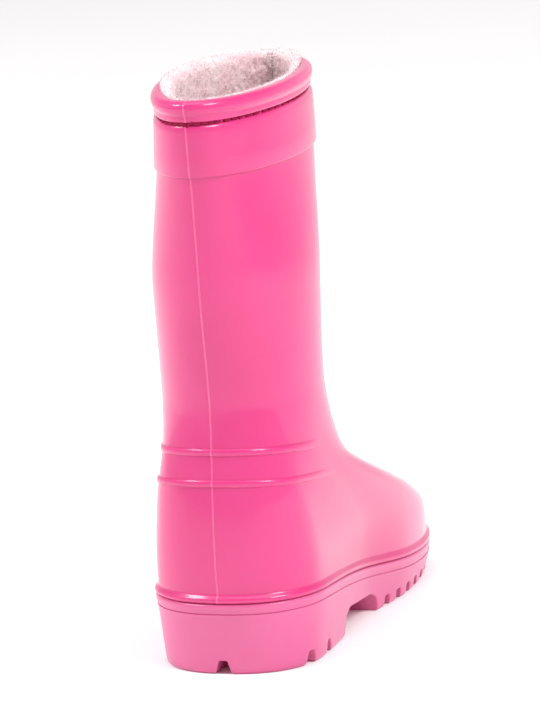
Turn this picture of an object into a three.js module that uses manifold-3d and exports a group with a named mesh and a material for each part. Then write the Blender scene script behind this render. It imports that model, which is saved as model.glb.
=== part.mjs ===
// A child's lined rain boot for the left foot: a glossy moulded shell on a lugged sole, with a plush lining
// stitched in at the rim and a loose insole. Millimetres, +Z up. The toe points along -Y, the heel along +Y,
// and the inner (medial) side of the foot is -X. The origin is the middle of the footprint on the ground.

import * as THREE from 'three';
import { mergeVertices } from 'three/addons/utils/BufferGeometryUtils.js';
import Module from 'manifold-3d';

const wasm = await Module();
wasm.setup();

// ---------------------------------------------------------------------------------- driving dimensions
const SOLE_LENGTH = 205.5;
const HEEL_WIDTH = 68;
const WAIST_WIDTH = 64;
const BALL_WIDTH = 73.5;
const HEEL_CORNER = 33.5; // length of the rounded end of the heel
const HEEL_WIDE = 36; // places along the sole are measured forwards from the back of the heel
const WAIST_ALONG = 88;
const BALL_ALONG = 135;
const TOE_SHIFT = 2.5; // how far the tip lies towards the medial side

const BOOT_HEIGHT = 225;
const TOP_DEPTH = 113; // front to back, outside the leg
const TOP_WIDTH = 48.8;
const CALF_UP = 153;
const CALF_DEPTH = 89.5;
const CALF_WIDTH = 62;
const ANKLE_UP = 106;
const ANKLE_DEPTH = 81.5;
const ANKLE_WIDTH = 61;
const INSTEP_UP = 73.5;
const VAMP_UP = 50;
const TOE_CAP_UP = 34;
const FOOT_WAIST = 69; // width of the foot over the waist of the sole

const HEEL_SEAT_UP = 28.5; // the joint between the shell and the sole, at the heel
const TOE_SEAT_UP = 13.6;
const TOE_SPRING = 1.2;

const SHELL_WALL = 2.6;
const PLUSH = 3.4;
const FIT_GAP = 0.35; // left between pieces that touch
const BOARD_THICKNESS = 1.6;
const INSOLE_FOAM = 3.6;
const INSOLE_PLUSH = 2.4;
const INSOLE_PLAY = 1.6; // all round the loose insole
const INSOLE_TOE_ROOM = 6; // more room at the tip, where the toe cap comes down

const WELT_RELIEF = 1.6; // how far the welt beads stand out of the shell's side
const WELT_BEAD = 1.3; // from the joint to the crest of each welt bead
const RIM_RISE = 1.8; // the rim stands this much higher on the lateral side
const BAND_RELIEF = 1.2;
const BAND_LENGTH = 20.5;
const BEAD_RELIEF = 1.9;
const BEAD_HEIGHT = 5.6;
const LEDGE_HEIGHT = 2.6;
const STITCH_GROOVE = 1.6;
const RIB_UP = 75.5;
const RIB_RELIEF = 0.8;
const RIB_PITCH = 12;
const RIM_THREAD = 0.9;
const SEAM_THREAD = 1.2;
const SEAM_SPACE = 2.4; // between the two lining panels

const HEEL_BREAST = 61.5;
const ARCH_RISE = 10.6;
const TREAD_START = 104.5; // where the forefoot tread meets the ground
const LUG_PITCH = 10.6;
const LUG_GAP = 4.8;
const LUG_DEPTH = 4.4;
const LUG_REACH = 15;
const HEEL_TAPER = 2.4;
const HEEL_HOLLOW_WALL = 9;
const HEEL_FLOOR = 10;
const HEEL_NOTCH_RISE = 5.4;
const HEEL_NOTCH_MOUTH = 6;
const HEEL_NOTCHES = [21.5, 38.5]; // distances of the side notches from the back
const BACK_NOTCH_MOUTH = 6.5;
const NOTCH_REACH = 12;

const AROUND = 48; // points round every section

// ---------------------------------------------------------------------------------- outline of the sole
const smooth = (value, from, to) => THREE.MathUtils.smoothstep(value, from, to);
const mix = THREE.MathUtils.lerp;
const clamp = THREE.MathUtils.clamp;

// Turns (across, along, up) into the part's frame: across is towards the medial side.
const place = (across, along, up) => new THREE.Vector3(-across, SOLE_LENGTH / 2 - along, up);

function roundEnd(distance, length, squareness) {
  const rest = 1 - clamp(distance / length, 0, 1);
  return (1 - rest ** squareness) ** (1 / squareness);
}

function soleHalfWidth(along, inset = 0, waist = WAIST_WIDTH) {
  const length = SOLE_LENGTH - 2 * inset;
  const from = clamp(along - inset, 0, length);
  const toWaist = smooth(along, HEEL_WIDE, WAIST_ALONG);
  const toBall = smooth(along, WAIST_ALONG, BALL_ALONG);
  const width = mix(mix(HEEL_WIDTH, waist, toWaist), BALL_WIDTH, toBall) - 2 * inset;
  const heelEnd = roundEnd(from, HEEL_CORNER - inset, 2.3);
  const toeEnd = roundEnd(length - from, SOLE_LENGTH - BALL_ALONG - inset, 2);
  return (width / 2) * heelEnd * toeEnd;
}

const soleShift = (along) => TOE_SHIFT * smooth(along, BALL_ALONG, SOLE_LENGTH);

// Height of the joint between shell and sole: high at the heel, low at the ball, turned up at the tip.
function seatUp(along) {
  const fall = (1 - Math.cos(Math.PI * clamp((along - 10) / (SOLE_LENGTH * 0.8), 0, 1))) / 2;
  return mix(HEEL_SEAT_UP, TOE_SEAT_UP, fall) + springUp(along);
}

function springUp(along) {
  return TOE_SPRING * clamp((along - SOLE_LENGTH * 0.8) / (SOLE_LENGTH * 0.2), 0, 1) ** 2;
}

// One closed section of the sole at a height above or below the joint.
function soleSection(inset, upAt) {
  return Array.from({ length: AROUND }, (_, i) => {
    const angle = (2 * Math.PI * i) / AROUND;
    const along = inset + ((1 - Math.cos(angle)) / 2) * (SOLE_LENGTH - 2 * inset);
    const side = Math.sign(Math.sin(angle)) * (i % (AROUND / 2) === 0 ? 0 : 1);
    const across = soleShift(along) + side * soleHalfWidth(along, inset);
    return place(across, along, upAt(along));
  });
}

// ---------------------------------------------------------------------------------- form of the shell
// The shell is lofted through sections. Each has a back and a front point on the centre line, a half width,
// and a share of the sole's outline, which fades out as the foot turns into the leg.
const TOE_BACK = 1.6; // the shell's side lies this far inside the sole's outline
const LEG_BACK_ANKLE = 5.8; // places of the leg's back line, forwards from the back of the heel
const LEG_BACK_CALF = 2.2;
const LEG_BACK_TOP = -1.2;

function stations() {
  const toe = SOLE_LENGTH - TOE_BACK;
  const ankle = ANKLE_WIDTH / 2;
  const calf = CALF_WIDTH / 2;
  const top = TOP_WIDTH / 2;
  const ankleFront = LEG_BACK_ANKLE + ANKLE_DEPTH;
  const calfFront = LEG_BACK_CALF + CALF_DEPTH;
  const topFront = LEG_BACK_TOP + TOP_DEPTH;
  const heelUp = (share) => mix(HEEL_SEAT_UP, ANKLE_UP, share);
  const legUp = (share) => mix(CALF_UP, BOOT_HEIGHT, share);
  const betweenUp = mix(ANKLE_UP, CALF_UP, 0.5);
  const row = (backAlong, backUp, frontAlong, frontUp, half, share) => ({
    back: new THREE.Vector3(backAlong, backUp, half),
    front: new THREE.Vector3(frontAlong, frontUp, share),
  });
  return [
    row(TOE_BACK, HEEL_SEAT_UP, toe, seatUp(toe), ankle + 2.5, 1),
    row(1, heelUp(0.11), toe + 0.4, TOE_SEAT_UP + 9, ankle + 2.5, 1),
    row(0.8, heelUp(0.22), toe - 2, TOE_CAP_UP - 6, ankle + 2.3, 0.98),
    row(1, heelUp(0.32), toe - 13.5, TOE_CAP_UP, ankle + 2, 0.92),
    row(1.5, heelUp(0.415), toe - 31, mix(TOE_CAP_UP, VAMP_UP, 0.45), ankle + 1.7, 0.83),
    row(2.2, heelUp(0.505), toe - 54, VAMP_UP, ankle + 1.4, 0.72),
    row(3, heelUp(0.595), mix(toe - 54, ankleFront, 0.43), mix(VAMP_UP, INSTEP_UP, 0.44), ankle + 0.6, 0.57),
    row(3.9, heelUp(0.69), mix(toe - 54, ankleFront, 0.74), INSTEP_UP - 4, ankle, 0.4),
    row(4.7, heelUp(0.79), ankleFront + 8, mix(INSTEP_UP, ANKLE_UP, 0.21), ankle - 0.2, 0.23),
    row(5.4, heelUp(0.895), ankleFront + 2.6, mix(INSTEP_UP, ANKLE_UP, 0.6), ankle, 0.08),
    row(LEG_BACK_ANKLE, ANKLE_UP, ankleFront, ANKLE_UP - 1, ankle, 0),
    row(mix(LEG_BACK_ANKLE, LEG_BACK_CALF, 0.2), mix(ANKLE_UP, betweenUp, 0.5), ankleFront - 0.2,
      mix(ANKLE_UP, betweenUp, 0.5), mix(ankle, calf, 0.2), 0),
    row(mix(LEG_BACK_ANKLE, LEG_BACK_CALF, 0.5), betweenUp, mix(ankleFront, calfFront, 0.25), betweenUp,
      mix(ankle, calf, 0.5), 0),
    row(mix(LEG_BACK_ANKLE, LEG_BACK_CALF, 0.82), mix(betweenUp, CALF_UP, 0.5), mix(ankleFront, calfFront, 0.6),
      mix(betweenUp, CALF_UP, 0.5), mix(ankle, calf, 0.85), 0),
    row(LEG_BACK_CALF, CALF_UP, calfFront, CALF_UP, calf, 0),
    row(2, legUp(0.18), mix(calfFront, topFront, 0.22), legUp(0.18), mix(calf, top, 0.15), 0),
    row(1.4, legUp(0.37), mix(calfFront, topFront, 0.5), legUp(0.37), mix(calf, top, 0.4), 0),
    row(0.6, legUp(0.57), mix(calfFront, topFront, 0.82), legUp(0.57), mix(calf, top, 0.66), 0),
    row(-0.3, legUp(0.78), mix(calfFront, topFront, 0.97), legUp(0.78), mix(calf, top, 0.86), 0),
    row(LEG_BACK_TOP, BOOT_HEIGHT, topFront, BOOT_HEIGHT - 0.5, top, 0),
  ];
}

const SECTIONS = stations();
const SEAT_FADE = 4; // the seat's curve dies out over this many sections
const BACK_LINE = new THREE.CatmullRomCurve3(SECTIONS.map((s) => s.back), false, 'catmullrom', 0.5);
const FRONT_LINE = new THREE.CatmullRomCurve3(SECTIONS.map((s) => s.front), false, 'catmullrom', 0.5);

// A point of the shell's plain outer form. level runs from 0 at the sole to 1 at the rim.
function formPoint(level, angle) {
  const back = BACK_LINE.getPoint(level);
  const front = FRONT_LINE.getPoint(level);
  const share = clamp(front.z, 0, 1);
  const run = (1 - Math.cos(angle)) / 2;
  const side = Math.sin(angle);
  const along = mix(back.x, front.x, run);
  const soleAlong = run * SOLE_LENGTH;
  const waist = mix(WAIST_WIDTH, FOOT_WAIST, smooth(level, 0.02, 0.18));
  const soleSide = soleHalfWidth(soleAlong, 0, waist) - TOE_BACK * Math.abs(side);
  const flank = Math.abs(side) < 1e-6 ? 0 : Math.sign(side) * soleSide;
  const across = mix(side * back.z, flank, share) + share * soleShift(soleAlong);
  const chord = mix(back.y, front.y, run);
  const settle = 1 - smooth(level, 0, SEAT_FADE / (SECTIONS.length - 1));
  const seat = seatUp(clamp(along, 0, SOLE_LENGTH)) - mix(seatUp(0), seatUp(SOLE_LENGTH), run);
  const lateral = Math.max(-side, 0) ** 3 * smooth(level, 0.75, 1);
  return new THREE.Vector3(across, along, chord + settle * seat + RIM_RISE * lateral);
}

function formNormal(level, angle) {
  const step = 1e-3;
  const upwards = formPoint(Math.min(level + step, 1), angle).sub(formPoint(Math.max(level - step, 0), angle));
  const round = formPoint(level, angle + step * 20).sub(formPoint(level, angle - step * 20));
  return round.cross(upwards).normalize();
}

// A point of the form moved out by a relief, in the part's frame. The lowest section stays at its height.
function surfacePoint(level, angle, relief) {
  const point = formPoint(level, angle);
  const seat = point.z;
  point.addScaledVector(formNormal(level, angle), relief);
  return place(point.x, point.y, level === 0 ? seat : point.z);
}

// The level whose back point is at a height.
function levelAt(up) {
  let low = 0;
  let high = 1;
  for (let i = 0; i < 30; i += 1) {
    const middle = (low + high) / 2;
    if (BACK_LINE.getPoint(middle).y < up) low = middle;
    else high = middle;
  }
  return (low + high) / 2;
}

const ring = (level, relief, angles) => angles.map((angle) => surfacePoint(level, angle, relief(angle)));
const fullTurn = Array.from({ length: AROUND }, (_, i) => (2 * Math.PI * i) / AROUND);

// ---------------------------------------------------------------------------------- solids
function geometryOf(points, triangles) {
  const geometry = new THREE.BufferGeometry();
  geometry.setAttribute('position', new THREE.Float32BufferAttribute(points.flatMap((p) => p.toArray()), 3));
  geometry.setIndex(triangles.flat());
  return geometry;
}

// A panel between two grids of points of the same size: outer[row][column] faces out, inner faces in.
function panel(outer, inner) {
  const rows = outer.length;
  const columns = outer[0].length;
  const points = [...outer.flat(), ...inner.flat()];
  const out = (row, column) => row * columns + column;
  const back = (row, column) => rows * columns + out(row, column);
  const triangles = [];
  const quad = (a, b, c, d) => triangles.push([a, b, c], [a, c, d]);
  const steps = columns - 1;
  for (let row = 0; row < rows - 1; row += 1) {
    for (let c = 0; c < steps; c += 1) {
      quad(out(row, c), out(row, c + 1), out(row + 1, c + 1), out(row + 1, c));
      quad(back(row, c + 1), back(row, c), back(row + 1, c), back(row + 1, c + 1));
    }
    quad(back(row, 0), out(row, 0), out(row + 1, 0), back(row + 1, 0));
    quad(out(row, steps), back(row, steps), back(row + 1, steps), out(row + 1, steps));
  }
  for (let c = 0; c < steps; c += 1) {
    quad(back(0, c), back(0, c + 1), out(0, c + 1), out(0, c));
    quad(out(rows - 1, c), out(rows - 1, c + 1), back(rows - 1, c + 1), back(rows - 1, c));
  }
  return geometryOf(points, triangles);
}

// A hollow round solid: closed rings of points taken up the outside and back down the inside.
function hoop(rings) {
  const count = rings[0].length;
  const at = (row, i) => (row % rings.length) * count + (i % count);
  const triangles = rings.flatMap((_, row) => rings[0].flatMap((__, i) => [
    [at(row, i), at(row, i + 1), at(row + 1, i + 1)],
    [at(row, i), at(row + 1, i + 1), at(row + 1, i)],
  ]));
  return geometryOf(rings.flat(), triangles);
}

// A solid through closed sections from the lowest to the highest, with its two ends closed.
function loft(sections) {
  const count = sections[0].length;
  const at = (row, i) => row * count + (i % count);
  const triangles = [];
  for (let row = 0; row < sections.length - 1; row += 1) {
    for (let i = 0; i < count; i += 1) {
      triangles.push([at(row, i), at(row, i + 1), at(row + 1, i + 1)]);
      triangles.push([at(row, i), at(row + 1, i + 1), at(row + 1, i)]);
    }
  }
  const top = sections.length - 1;
  for (let i = 0; i < count / 2; i += 1) {
    const ladder = [
      [at(0, count - i), at(0, i), at(0, i + 1)],
      [at(0, count - i), at(0, i + 1), at(0, count - i - 1)],
    ];
    const real = ladder.filter((t) => new Set(t).size === 3);
    triangles.push(...real.map((t) => [t[0], t[2], t[1]]));
    triangles.push(...real.map((t) => t.map((vertex) => vertex + top * count)));
  }
  return geometryOf(sections.flat(), triangles);
}

function solidOf(geometry) {
  geometry.deleteAttribute('normal');
  geometry.deleteAttribute('uv');
  const merged = mergeVertices(geometry, 1e-4);
  return new wasm.Manifold(new wasm.Mesh({
    numProp: 3,
    vertProperties: merged.attributes.position.array,
    triVerts: Uint32Array.from(merged.index.array),
  }));
}

function cut(geometry, cutters) {
  const left = cutters.reduce((solid, cutter) => solid.subtract(solidOf(cutter)), solidOf(geometry)).getMesh();
  const result = new THREE.BufferGeometry();
  result.setAttribute('position', new THREE.BufferAttribute(left.vertProperties, 3));
  result.setIndex(new THREE.BufferAttribute(left.triVerts, 1));
  return result;
}

// An outline drawn in the side view, (along, up), and given a width across the boot.
function acrossBlock(outline, from, to) {
  const shape = new THREE.Shape(outline.map(([along, up]) => new THREE.Vector2(along, up)));
  const block = new THREE.ExtrudeGeometry(shape, { depth: to - from, bevelEnabled: false });
  const corners = block.attributes.position;
  for (let i = 0; i < corners.count; i += 1) {
    const point = place(from + corners.getZ(i), corners.getX(i), corners.getY(i));
    corners.setXYZ(i, point.x, point.y, point.z);
  }
  return block;
}

// A flat layer inside the boot that follows the seat: its outline is the sole's, drawn in by an inset.
function layer(inset, above, thickness, toeRoom = 0) {
  const rows = 30;
  const columns = 6;
  const tip = 0.6;
  const grid = (lift) => Array.from({ length: rows + 1 }, (_, row) => {
    const run = (1 - Math.cos((Math.PI * row) / rows)) / 2;
    const along = mix(inset + tip, SOLE_LENGTH - inset - toeRoom - tip, run);
    return Array.from({ length: columns + 1 }, (__, column) => {
      const side = (2 * column) / columns - 1;
      const outline = inset + (along - inset) * (SOLE_LENGTH - 2 * inset) / (SOLE_LENGTH - 2 * inset - toeRoom);
      return place(soleShift(along) + side * soleHalfWidth(outline, inset), along, lift(along));
    });
  });
  const bottom = (along) => seatUp(along) + above;
  return panel(grid((along) => bottom(along) + thickness), grid(bottom));
}

function thread(points, width) {
  const round = new THREE.Shape().absarc(0, 0, width / 2, 0, 2 * Math.PI);
  const path = new THREE.CatmullRomCurve3(points);
  const sweep = { steps: 36, curveSegments: 3, extrudePath: path, bevelEnabled: false };
  return new THREE.ExtrudeGeometry(round, sweep);
}

// ---------------------------------------------------------------------------------- pieces
const LINING_OUT = -(SHELL_WALL + FIT_GAP);
const LINING_IN = LINING_OUT - PLUSH;
const BOARD_INSET = TOE_BACK + SHELL_WALL + FIT_GAP + 0.4;
const BOARD_TOP = BOARD_THICKNESS;
const BOTTOM_PLUSH_TOP = BOARD_TOP + FIT_GAP + PLUSH;
const FOAM_TOP = BOTTOM_PLUSH_TOP + FIT_GAP + INSOLE_FOAM;
const INSOLE_INSET = TOE_BACK - LINING_IN + INSOLE_PLAY;

// Levels of the shell's inside face, which the lining repeats so that the two stay parallel.
const LINING_LOW = levelAt(HEEL_SEAT_UP + BOTTOM_PLUSH_TOP + 1);
const INSIDE_STEPS = 19;
const liningLevel = (_, i) => mix(LINING_LOW, 1, i / INSIDE_STEPS);
const INSIDE_LEVELS = [0, ...Array.from({ length: INSIDE_STEPS + 1 }, liningLevel)];

function upperShell() {
  const bead = BOOT_HEIGHT - BEAD_HEIGHT;
  const ledge = bead - LEDGE_HEIGHT;
  const groove = ledge - STITCH_GROOVE;
  const band = groove - BAND_LENGTH;
  const ribTop = RIB_UP + RIB_PITCH;
  const fade = (angle) => 1 - smooth(Math.abs(Math.sin(angle / 2)), 0.5, 0.72);
  const even = (relief) => () => relief;
  const rib = (angle) => RIB_RELIEF * fade(angle);
  const outside = [
    [0, even(0.2)],
    [levelAt(HEEL_SEAT_UP + WELT_BEAD * 0.5), even(WELT_RELIEF * 0.8)],
    [levelAt(HEEL_SEAT_UP + WELT_BEAD), even(WELT_RELIEF)],
    [levelAt(HEEL_SEAT_UP + WELT_BEAD * 1.7), even(WELT_RELIEF * 0.6)],
    [levelAt(HEEL_SEAT_UP + WELT_BEAD * 2.6), even(0)],
  ];
  for (let up = HEEL_SEAT_UP + 12; up < RIB_UP - 3; up += 7.5) outside.push([levelAt(up), even(0)]);
  for (const up of [RIB_UP, ribTop]) {
    outside.push([levelAt(up - 2), even(0)], [levelAt(up), rib], [levelAt(up + 2), even(0)]);
  }
  for (let up = ribTop + 9; up < band - 5; up += 13) outside.push([levelAt(up), even(0)]);
  const rim = [
    [band - 0.6, 0], [band, BAND_RELIEF], [mix(band, groove, 0.5), BAND_RELIEF], [groove - 1.5, BAND_RELIEF],
    [groove - 0.1, BAND_RELIEF * 0.6], [groove, -0.6], [ledge, -0.6], [ledge + 0.1, BAND_RELIEF * 0.8],
    [bead - 0.2, BAND_RELIEF * 0.8], [bead + 0.7, BEAD_RELIEF * 0.9], [BOOT_HEIGHT - 2.8, BEAD_RELIEF],
    [BOOT_HEIGHT - 1, BEAD_RELIEF * 0.8], [BOOT_HEIGHT, BEAD_RELIEF * 0.2],
  ];
  outside.push(...rim.map(([up, relief]) => [levelAt(up), even(relief)]));
  const grid = outside.map(([level, relief]) => ring(level, relief, fullTurn));
  const inside = INSIDE_LEVELS.map((level) => ring(level, even(-SHELL_WALL), fullTurn)).reverse();
  return hoop([...grid, ...inside]);
}

function heelCore(grow, bottomUp, topAbove) {
  const inset = HEEL_TAPER + HEEL_HOLLOW_WALL - grow;
  const from = inset;
  const to = HEEL_BREAST - HEEL_HOLLOW_WALL + grow;
  const rows = 12;
  const grid = (upAt) => Array.from({ length: rows + 1 }, (_, row) => {
    const along = mix(from + 0.6, to, (1 - Math.cos((Math.PI * row) / rows)) / 2);
    const half = Math.min(soleHalfWidth(along, inset), HEEL_WIDTH / 2 - inset);
    return [-1, -0.5, 0, 0.5, 1].map((side) => place(side * half, along, upAt(along)));
  });
  return panel(grid((along) => seatUp(along) + topAbove), grid(() => bottomUp));
}

function outsole() {
  const ground = (along) => springUp(along);
  const sides = [
    [HEEL_TAPER + 1.4, (along) => ground(along)],
    [HEEL_TAPER + 0.5, (along) => ground(along) + 0.8],
    [HEEL_TAPER, (along) => ground(along) + 2.6],
    [0.7, (along) => seatUp(along) - WELT_BEAD * 3],
    [0.6, (along) => seatUp(along) - WELT_BEAD * 2.1],
    [0, (along) => seatUp(along) - WELT_BEAD * 1.2],
    [0, (along) => seatUp(along) - WELT_BEAD * 0.8],
    [1, (along) => seatUp(along) - FIT_GAP],
  ];
  const blank = loft(sides.map(([inset, upAt]) => soleSection(inset, upAt)));
  const arch = acrossBlock([
    [HEEL_BREAST, -5], [HEEL_BREAST, 0], [HEEL_BREAST + 2.5, ARCH_RISE - 2.5], [HEEL_BREAST + 7, ARCH_RISE],
    [TREAD_START - 7, ARCH_RISE - 2], [TREAD_START - 2, ARCH_RISE - 4.5], [TREAD_START, 0], [TREAD_START, -5],
  ], -BALL_WIDTH, BALL_WIDTH);
  const cutters = [arch, heelCore(FIT_GAP, HEEL_FLOOR, 6)];
  for (let along = TREAD_START + 6; along < SOLE_LENGTH - 12; along += LUG_PITCH) {
    for (const side of [-1, 1]) {
      const edge = soleShift(along) + side * soleHalfWidth(along);
      const from = Math.min(edge + side * 12, edge - side * LUG_REACH);
      const depth = LUG_DEPTH + springUp(along);
      cutters.push(acrossBlock([
        [along, -5], [along + LUG_GAP, -5], [along + LUG_GAP - 0.6, depth], [along + 0.6, depth],
      ], from, from + 12 + LUG_REACH));
    }
  }
  const notch = (at, mouth) => [
    [at - mouth / 2, -5], [at + mouth / 2, -5], [at + mouth / 2, 0], [at + mouth / 4, HEEL_NOTCH_RISE],
    [at - mouth / 4, HEEL_NOTCH_RISE], [at - mouth / 2, 0],
  ];
  const heelEdge = HEEL_WIDTH / 2 - HEEL_TAPER;
  for (const along of HEEL_NOTCHES) {
    const outline = notch(along, HEEL_NOTCH_MOUTH);
    cutters.push(acrossBlock(outline, heelEdge - NOTCH_REACH, heelEdge + NOTCH_REACH));
    cutters.push(acrossBlock(outline, -heelEdge - NOTCH_REACH, NOTCH_REACH - heelEdge));
  }
  const backNotch = acrossBlock(notch(0, BACK_NOTCH_MOUTH), -NOTCH_REACH, NOTCH_REACH);
  backNotch.translate(0, -SOLE_LENGTH / 2, 0).rotateZ(Math.PI / 2);
  backNotch.translate(0, SOLE_LENGTH / 2 - HEEL_TAPER, 0);
  cutters.push(backNotch);
  return cut(blank, cutters);
}

function liningPanel(side) {
  const seam = SEAM_SPACE / TOP_WIDTH;
  const between = fullTurn.filter((angle) => angle > seam * 1.5 && angle < Math.PI - seam * 1.5);
  const angles = [seam, ...between, Math.PI - seam];
  const turned = side > 0 ? angles : angles.map((angle) => 2 * Math.PI - angle).reverse();
  const levels = INSIDE_LEVELS.slice(1);
  const grid = (relief) => levels.map((level) => ring(level, () => relief, turned));
  return panel(grid(LINING_OUT), grid(LINING_IN));
}

function liningSeam(angle) {
  const low = LINING_LOW + 0.01;
  const middle = LINING_OUT - PLUSH / 2;
  const points = Array.from({ length: 22 }, (_, i) => surfacePoint(mix(low, 0.99, i / 21), angle, middle));
  return thread(points, SEAM_THREAD);
}

function rimStitch() {
  const ledge = BOOT_HEIGHT - BEAD_HEIGHT - LEDGE_HEIGHT;
  const levels = [levelAt(ledge - STITCH_GROOVE + FIT_GAP), levelAt(ledge - FIT_GAP)];
  const outer = levels.map((level) => ring(level, () => FIT_GAP - 0.6 + RIM_THREAD, fullTurn));
  const inner = levels.map((level) => ring(level, () => FIT_GAP - 0.6, fullTurn));
  return hoop([...outer, ...inner.reverse()]);
}

const insoleLayer = (above, thickness) => layer(INSOLE_INSET, above, thickness, INSOLE_TOE_ROOM);

// ---------------------------------------------------------------------------------- materials and assembly
const GLOSSY_PINK = { color: 0xff6aac, roughness: 0.22, metalness: 0 };
const SOLE_PINK = { color: 0xf968a6, roughness: 0.34, metalness: 0 };
const DARK_THREAD = { color: 0x8c1238, roughness: 0.8, metalness: 0 };
const WHITE_PLUSH = { color: 0xf3e9ea, roughness: 1, metalness: 0 };
const WHITE_THREAD = { color: 0xe9dcdf, roughness: 0.85, metalness: 0 };
const FOAM = { color: 0xf2d9e2, roughness: 0.95, metalness: 0 };
const BOARD = { color: 0xb9a68c, roughness: 0.9, metalness: 0 };

function piece(name, geometry, look) {
  const mesh = new THREE.Mesh(geometry, new THREE.MeshStandardMaterial({ ...look, flatShading: true }));
  mesh.name = name;
  return mesh;
}

const boot = new THREE.Group();
boot.add(
  piece('upper_shell', upperShell(), GLOSSY_PINK),
  piece('outsole', outsole(), SOLE_PINK),
  piece('heel_filler', heelCore(0, HEEL_FLOOR + FIT_GAP, -FIT_GAP), FOAM),
  piece('insole_board', layer(BOARD_INSET, 0, BOARD_THICKNESS), BOARD),
  piece('lining_bottom', layer(BOARD_INSET, BOARD_TOP + FIT_GAP, PLUSH), WHITE_PLUSH),
  piece('lining_medial', liningPanel(1), WHITE_PLUSH),
  piece('lining_lateral', liningPanel(-1), WHITE_PLUSH),
  piece('lining_back_seam', liningSeam(0), WHITE_THREAD),
  piece('lining_front_seam', liningSeam(Math.PI), WHITE_THREAD),
  piece('rim_stitch', rimStitch(), DARK_THREAD),
);

const insole = new THREE.Group();
insole.add(
  piece('insole_foam', insoleLayer(BOTTOM_PLUSH_TOP + FIT_GAP, INSOLE_FOAM), FOAM),
  piece('insole_cover', insoleLayer(FOAM_TOP + FIT_GAP, INSOLE_PLUSH), WHITE_PLUSH),
);
boot.add(insole);

// The origin goes to the middle of the boot's footprint.
const middle = new THREE.Box3().setFromObject(boot).getCenter(new THREE.Vector3());
boot.position.set(-middle.x, -middle.y, 0);

export default boot;
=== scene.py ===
"""A child's lined rain boot, left foot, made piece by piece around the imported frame.

Metres, +Z up, toe along -Y, medial side along -X.
"""

import math
import random

import bpy
import numpy as np
from mathutils import Matrix, Vector


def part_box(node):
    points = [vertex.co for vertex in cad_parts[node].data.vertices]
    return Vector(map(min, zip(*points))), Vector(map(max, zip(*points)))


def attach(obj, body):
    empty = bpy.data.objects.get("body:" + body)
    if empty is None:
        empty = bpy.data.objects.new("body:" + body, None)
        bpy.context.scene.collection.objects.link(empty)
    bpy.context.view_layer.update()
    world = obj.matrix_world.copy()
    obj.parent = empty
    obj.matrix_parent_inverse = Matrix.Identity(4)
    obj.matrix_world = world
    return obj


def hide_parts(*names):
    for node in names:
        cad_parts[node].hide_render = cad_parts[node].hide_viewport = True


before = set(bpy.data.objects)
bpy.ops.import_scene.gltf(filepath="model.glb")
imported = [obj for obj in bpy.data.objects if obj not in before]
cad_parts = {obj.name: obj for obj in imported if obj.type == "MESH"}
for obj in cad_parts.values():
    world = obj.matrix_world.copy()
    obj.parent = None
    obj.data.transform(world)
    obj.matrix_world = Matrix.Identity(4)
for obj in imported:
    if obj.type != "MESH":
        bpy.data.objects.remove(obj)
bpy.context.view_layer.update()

# ---------------------------------------------------------------------------------------- upper shell
# The shell is one glossy PVC moulding, leg and foot together, shaped on a last. Its rolled rim, stitch ledge,
# collar band, ankle ribs, mould seam and upper welt bead are all moulded in it.
heel_low, heel_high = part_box("heel_filler")
sole_low, sole_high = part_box("outsole")
MIDDLE_X = (heel_low[0] + heel_high[0]) / 2
HEEL_Y = sole_high[1]
SOLE_LENGTH = sole_high[1] - sole_low[1]
BOOT_HEIGHT = 0.225

HEEL_WIDTH, WAIST_WIDTH, BALL_WIDTH = 0.068, 0.064, 0.0735
HEEL_CORNER, HEEL_WIDE, HEEL_BREAST = 0.0335, 0.036, 0.0615
WAIST_ALONG, BALL_ALONG, TOE_SHIFT = 0.088, 0.135, 0.0025
HEEL_SEAT, TOE_SEAT, TOE_SPRING = 0.0285, 0.0136, 0.0012
ANKLE_UP, CALF_UP = 0.106, 0.153
INSTEP_UP, VAMP_UP, TOE_CAP_UP = 0.0735, 0.05, 0.034
ANKLE_HALF, CALF_HALF, TOP_HALF = 0.0305, 0.031, 0.0244
ANKLE_DEPTH, CALF_DEPTH, TOP_DEPTH = 0.0815, 0.0895, 0.113
BACK_ANKLE, BACK_CALF, BACK_TOP = 0.0058, 0.0022, -0.0012
SIDE_INSET, RIM_RISE, FULL_WAIST = 0.0016, 0.0018, 0.069
SHELL_WALL, FIT_GAP = 0.0026, 0.00035


def mix(a, b, t):
    return a + (b - a) * t


def smooth(value, start, end):
    t = np.clip((value - start) / (end - start), 0, 1)
    return t * t * (3 - 2 * t)


def place(across, along, up):
    """From the boot's own measures, across to the medial side and along from the heel, to the frame."""
    across, along, up = np.broadcast_arrays(across, along, up)
    return np.stack([MIDDLE_X - across, HEEL_Y - along, up], axis=-1)


def round_end(distance, length, squareness):
    rest = 1 - np.clip(distance / length, 0, 1)
    return (1 - rest**squareness) ** (1 / squareness)


def sole_half(along, inset=0.0, waist=WAIST_WIDTH):
    length = SOLE_LENGTH - 2 * inset
    start = np.clip(along - inset, 0, length)
    width = mix(HEEL_WIDTH, waist, smooth(along, HEEL_WIDE, WAIST_ALONG))
    width = mix(width, BALL_WIDTH, smooth(along, WAIST_ALONG, BALL_ALONG)) - 2 * inset
    heel = round_end(start, HEEL_CORNER - inset, 2.3)
    toe = round_end(length - start, SOLE_LENGTH - BALL_ALONG - inset, 2)
    return width / 2 * heel * toe


def sole_shift(along):
    return TOE_SHIFT * smooth(along, BALL_ALONG, SOLE_LENGTH)


def spring_up(along):
    return TOE_SPRING * np.clip((along - SOLE_LENGTH * 0.8) / (SOLE_LENGTH * 0.2), 0, 1) ** 2


def seat_up(along):
    fall = (1 - np.cos(np.pi * np.clip((along - 0.01) / (SOLE_LENGTH * 0.8), 0, 1))) / 2
    return mix(HEEL_SEAT, TOE_SEAT, fall) + spring_up(along)


def heel_up(share):
    return mix(HEEL_SEAT, ANKLE_UP, share)


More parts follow.
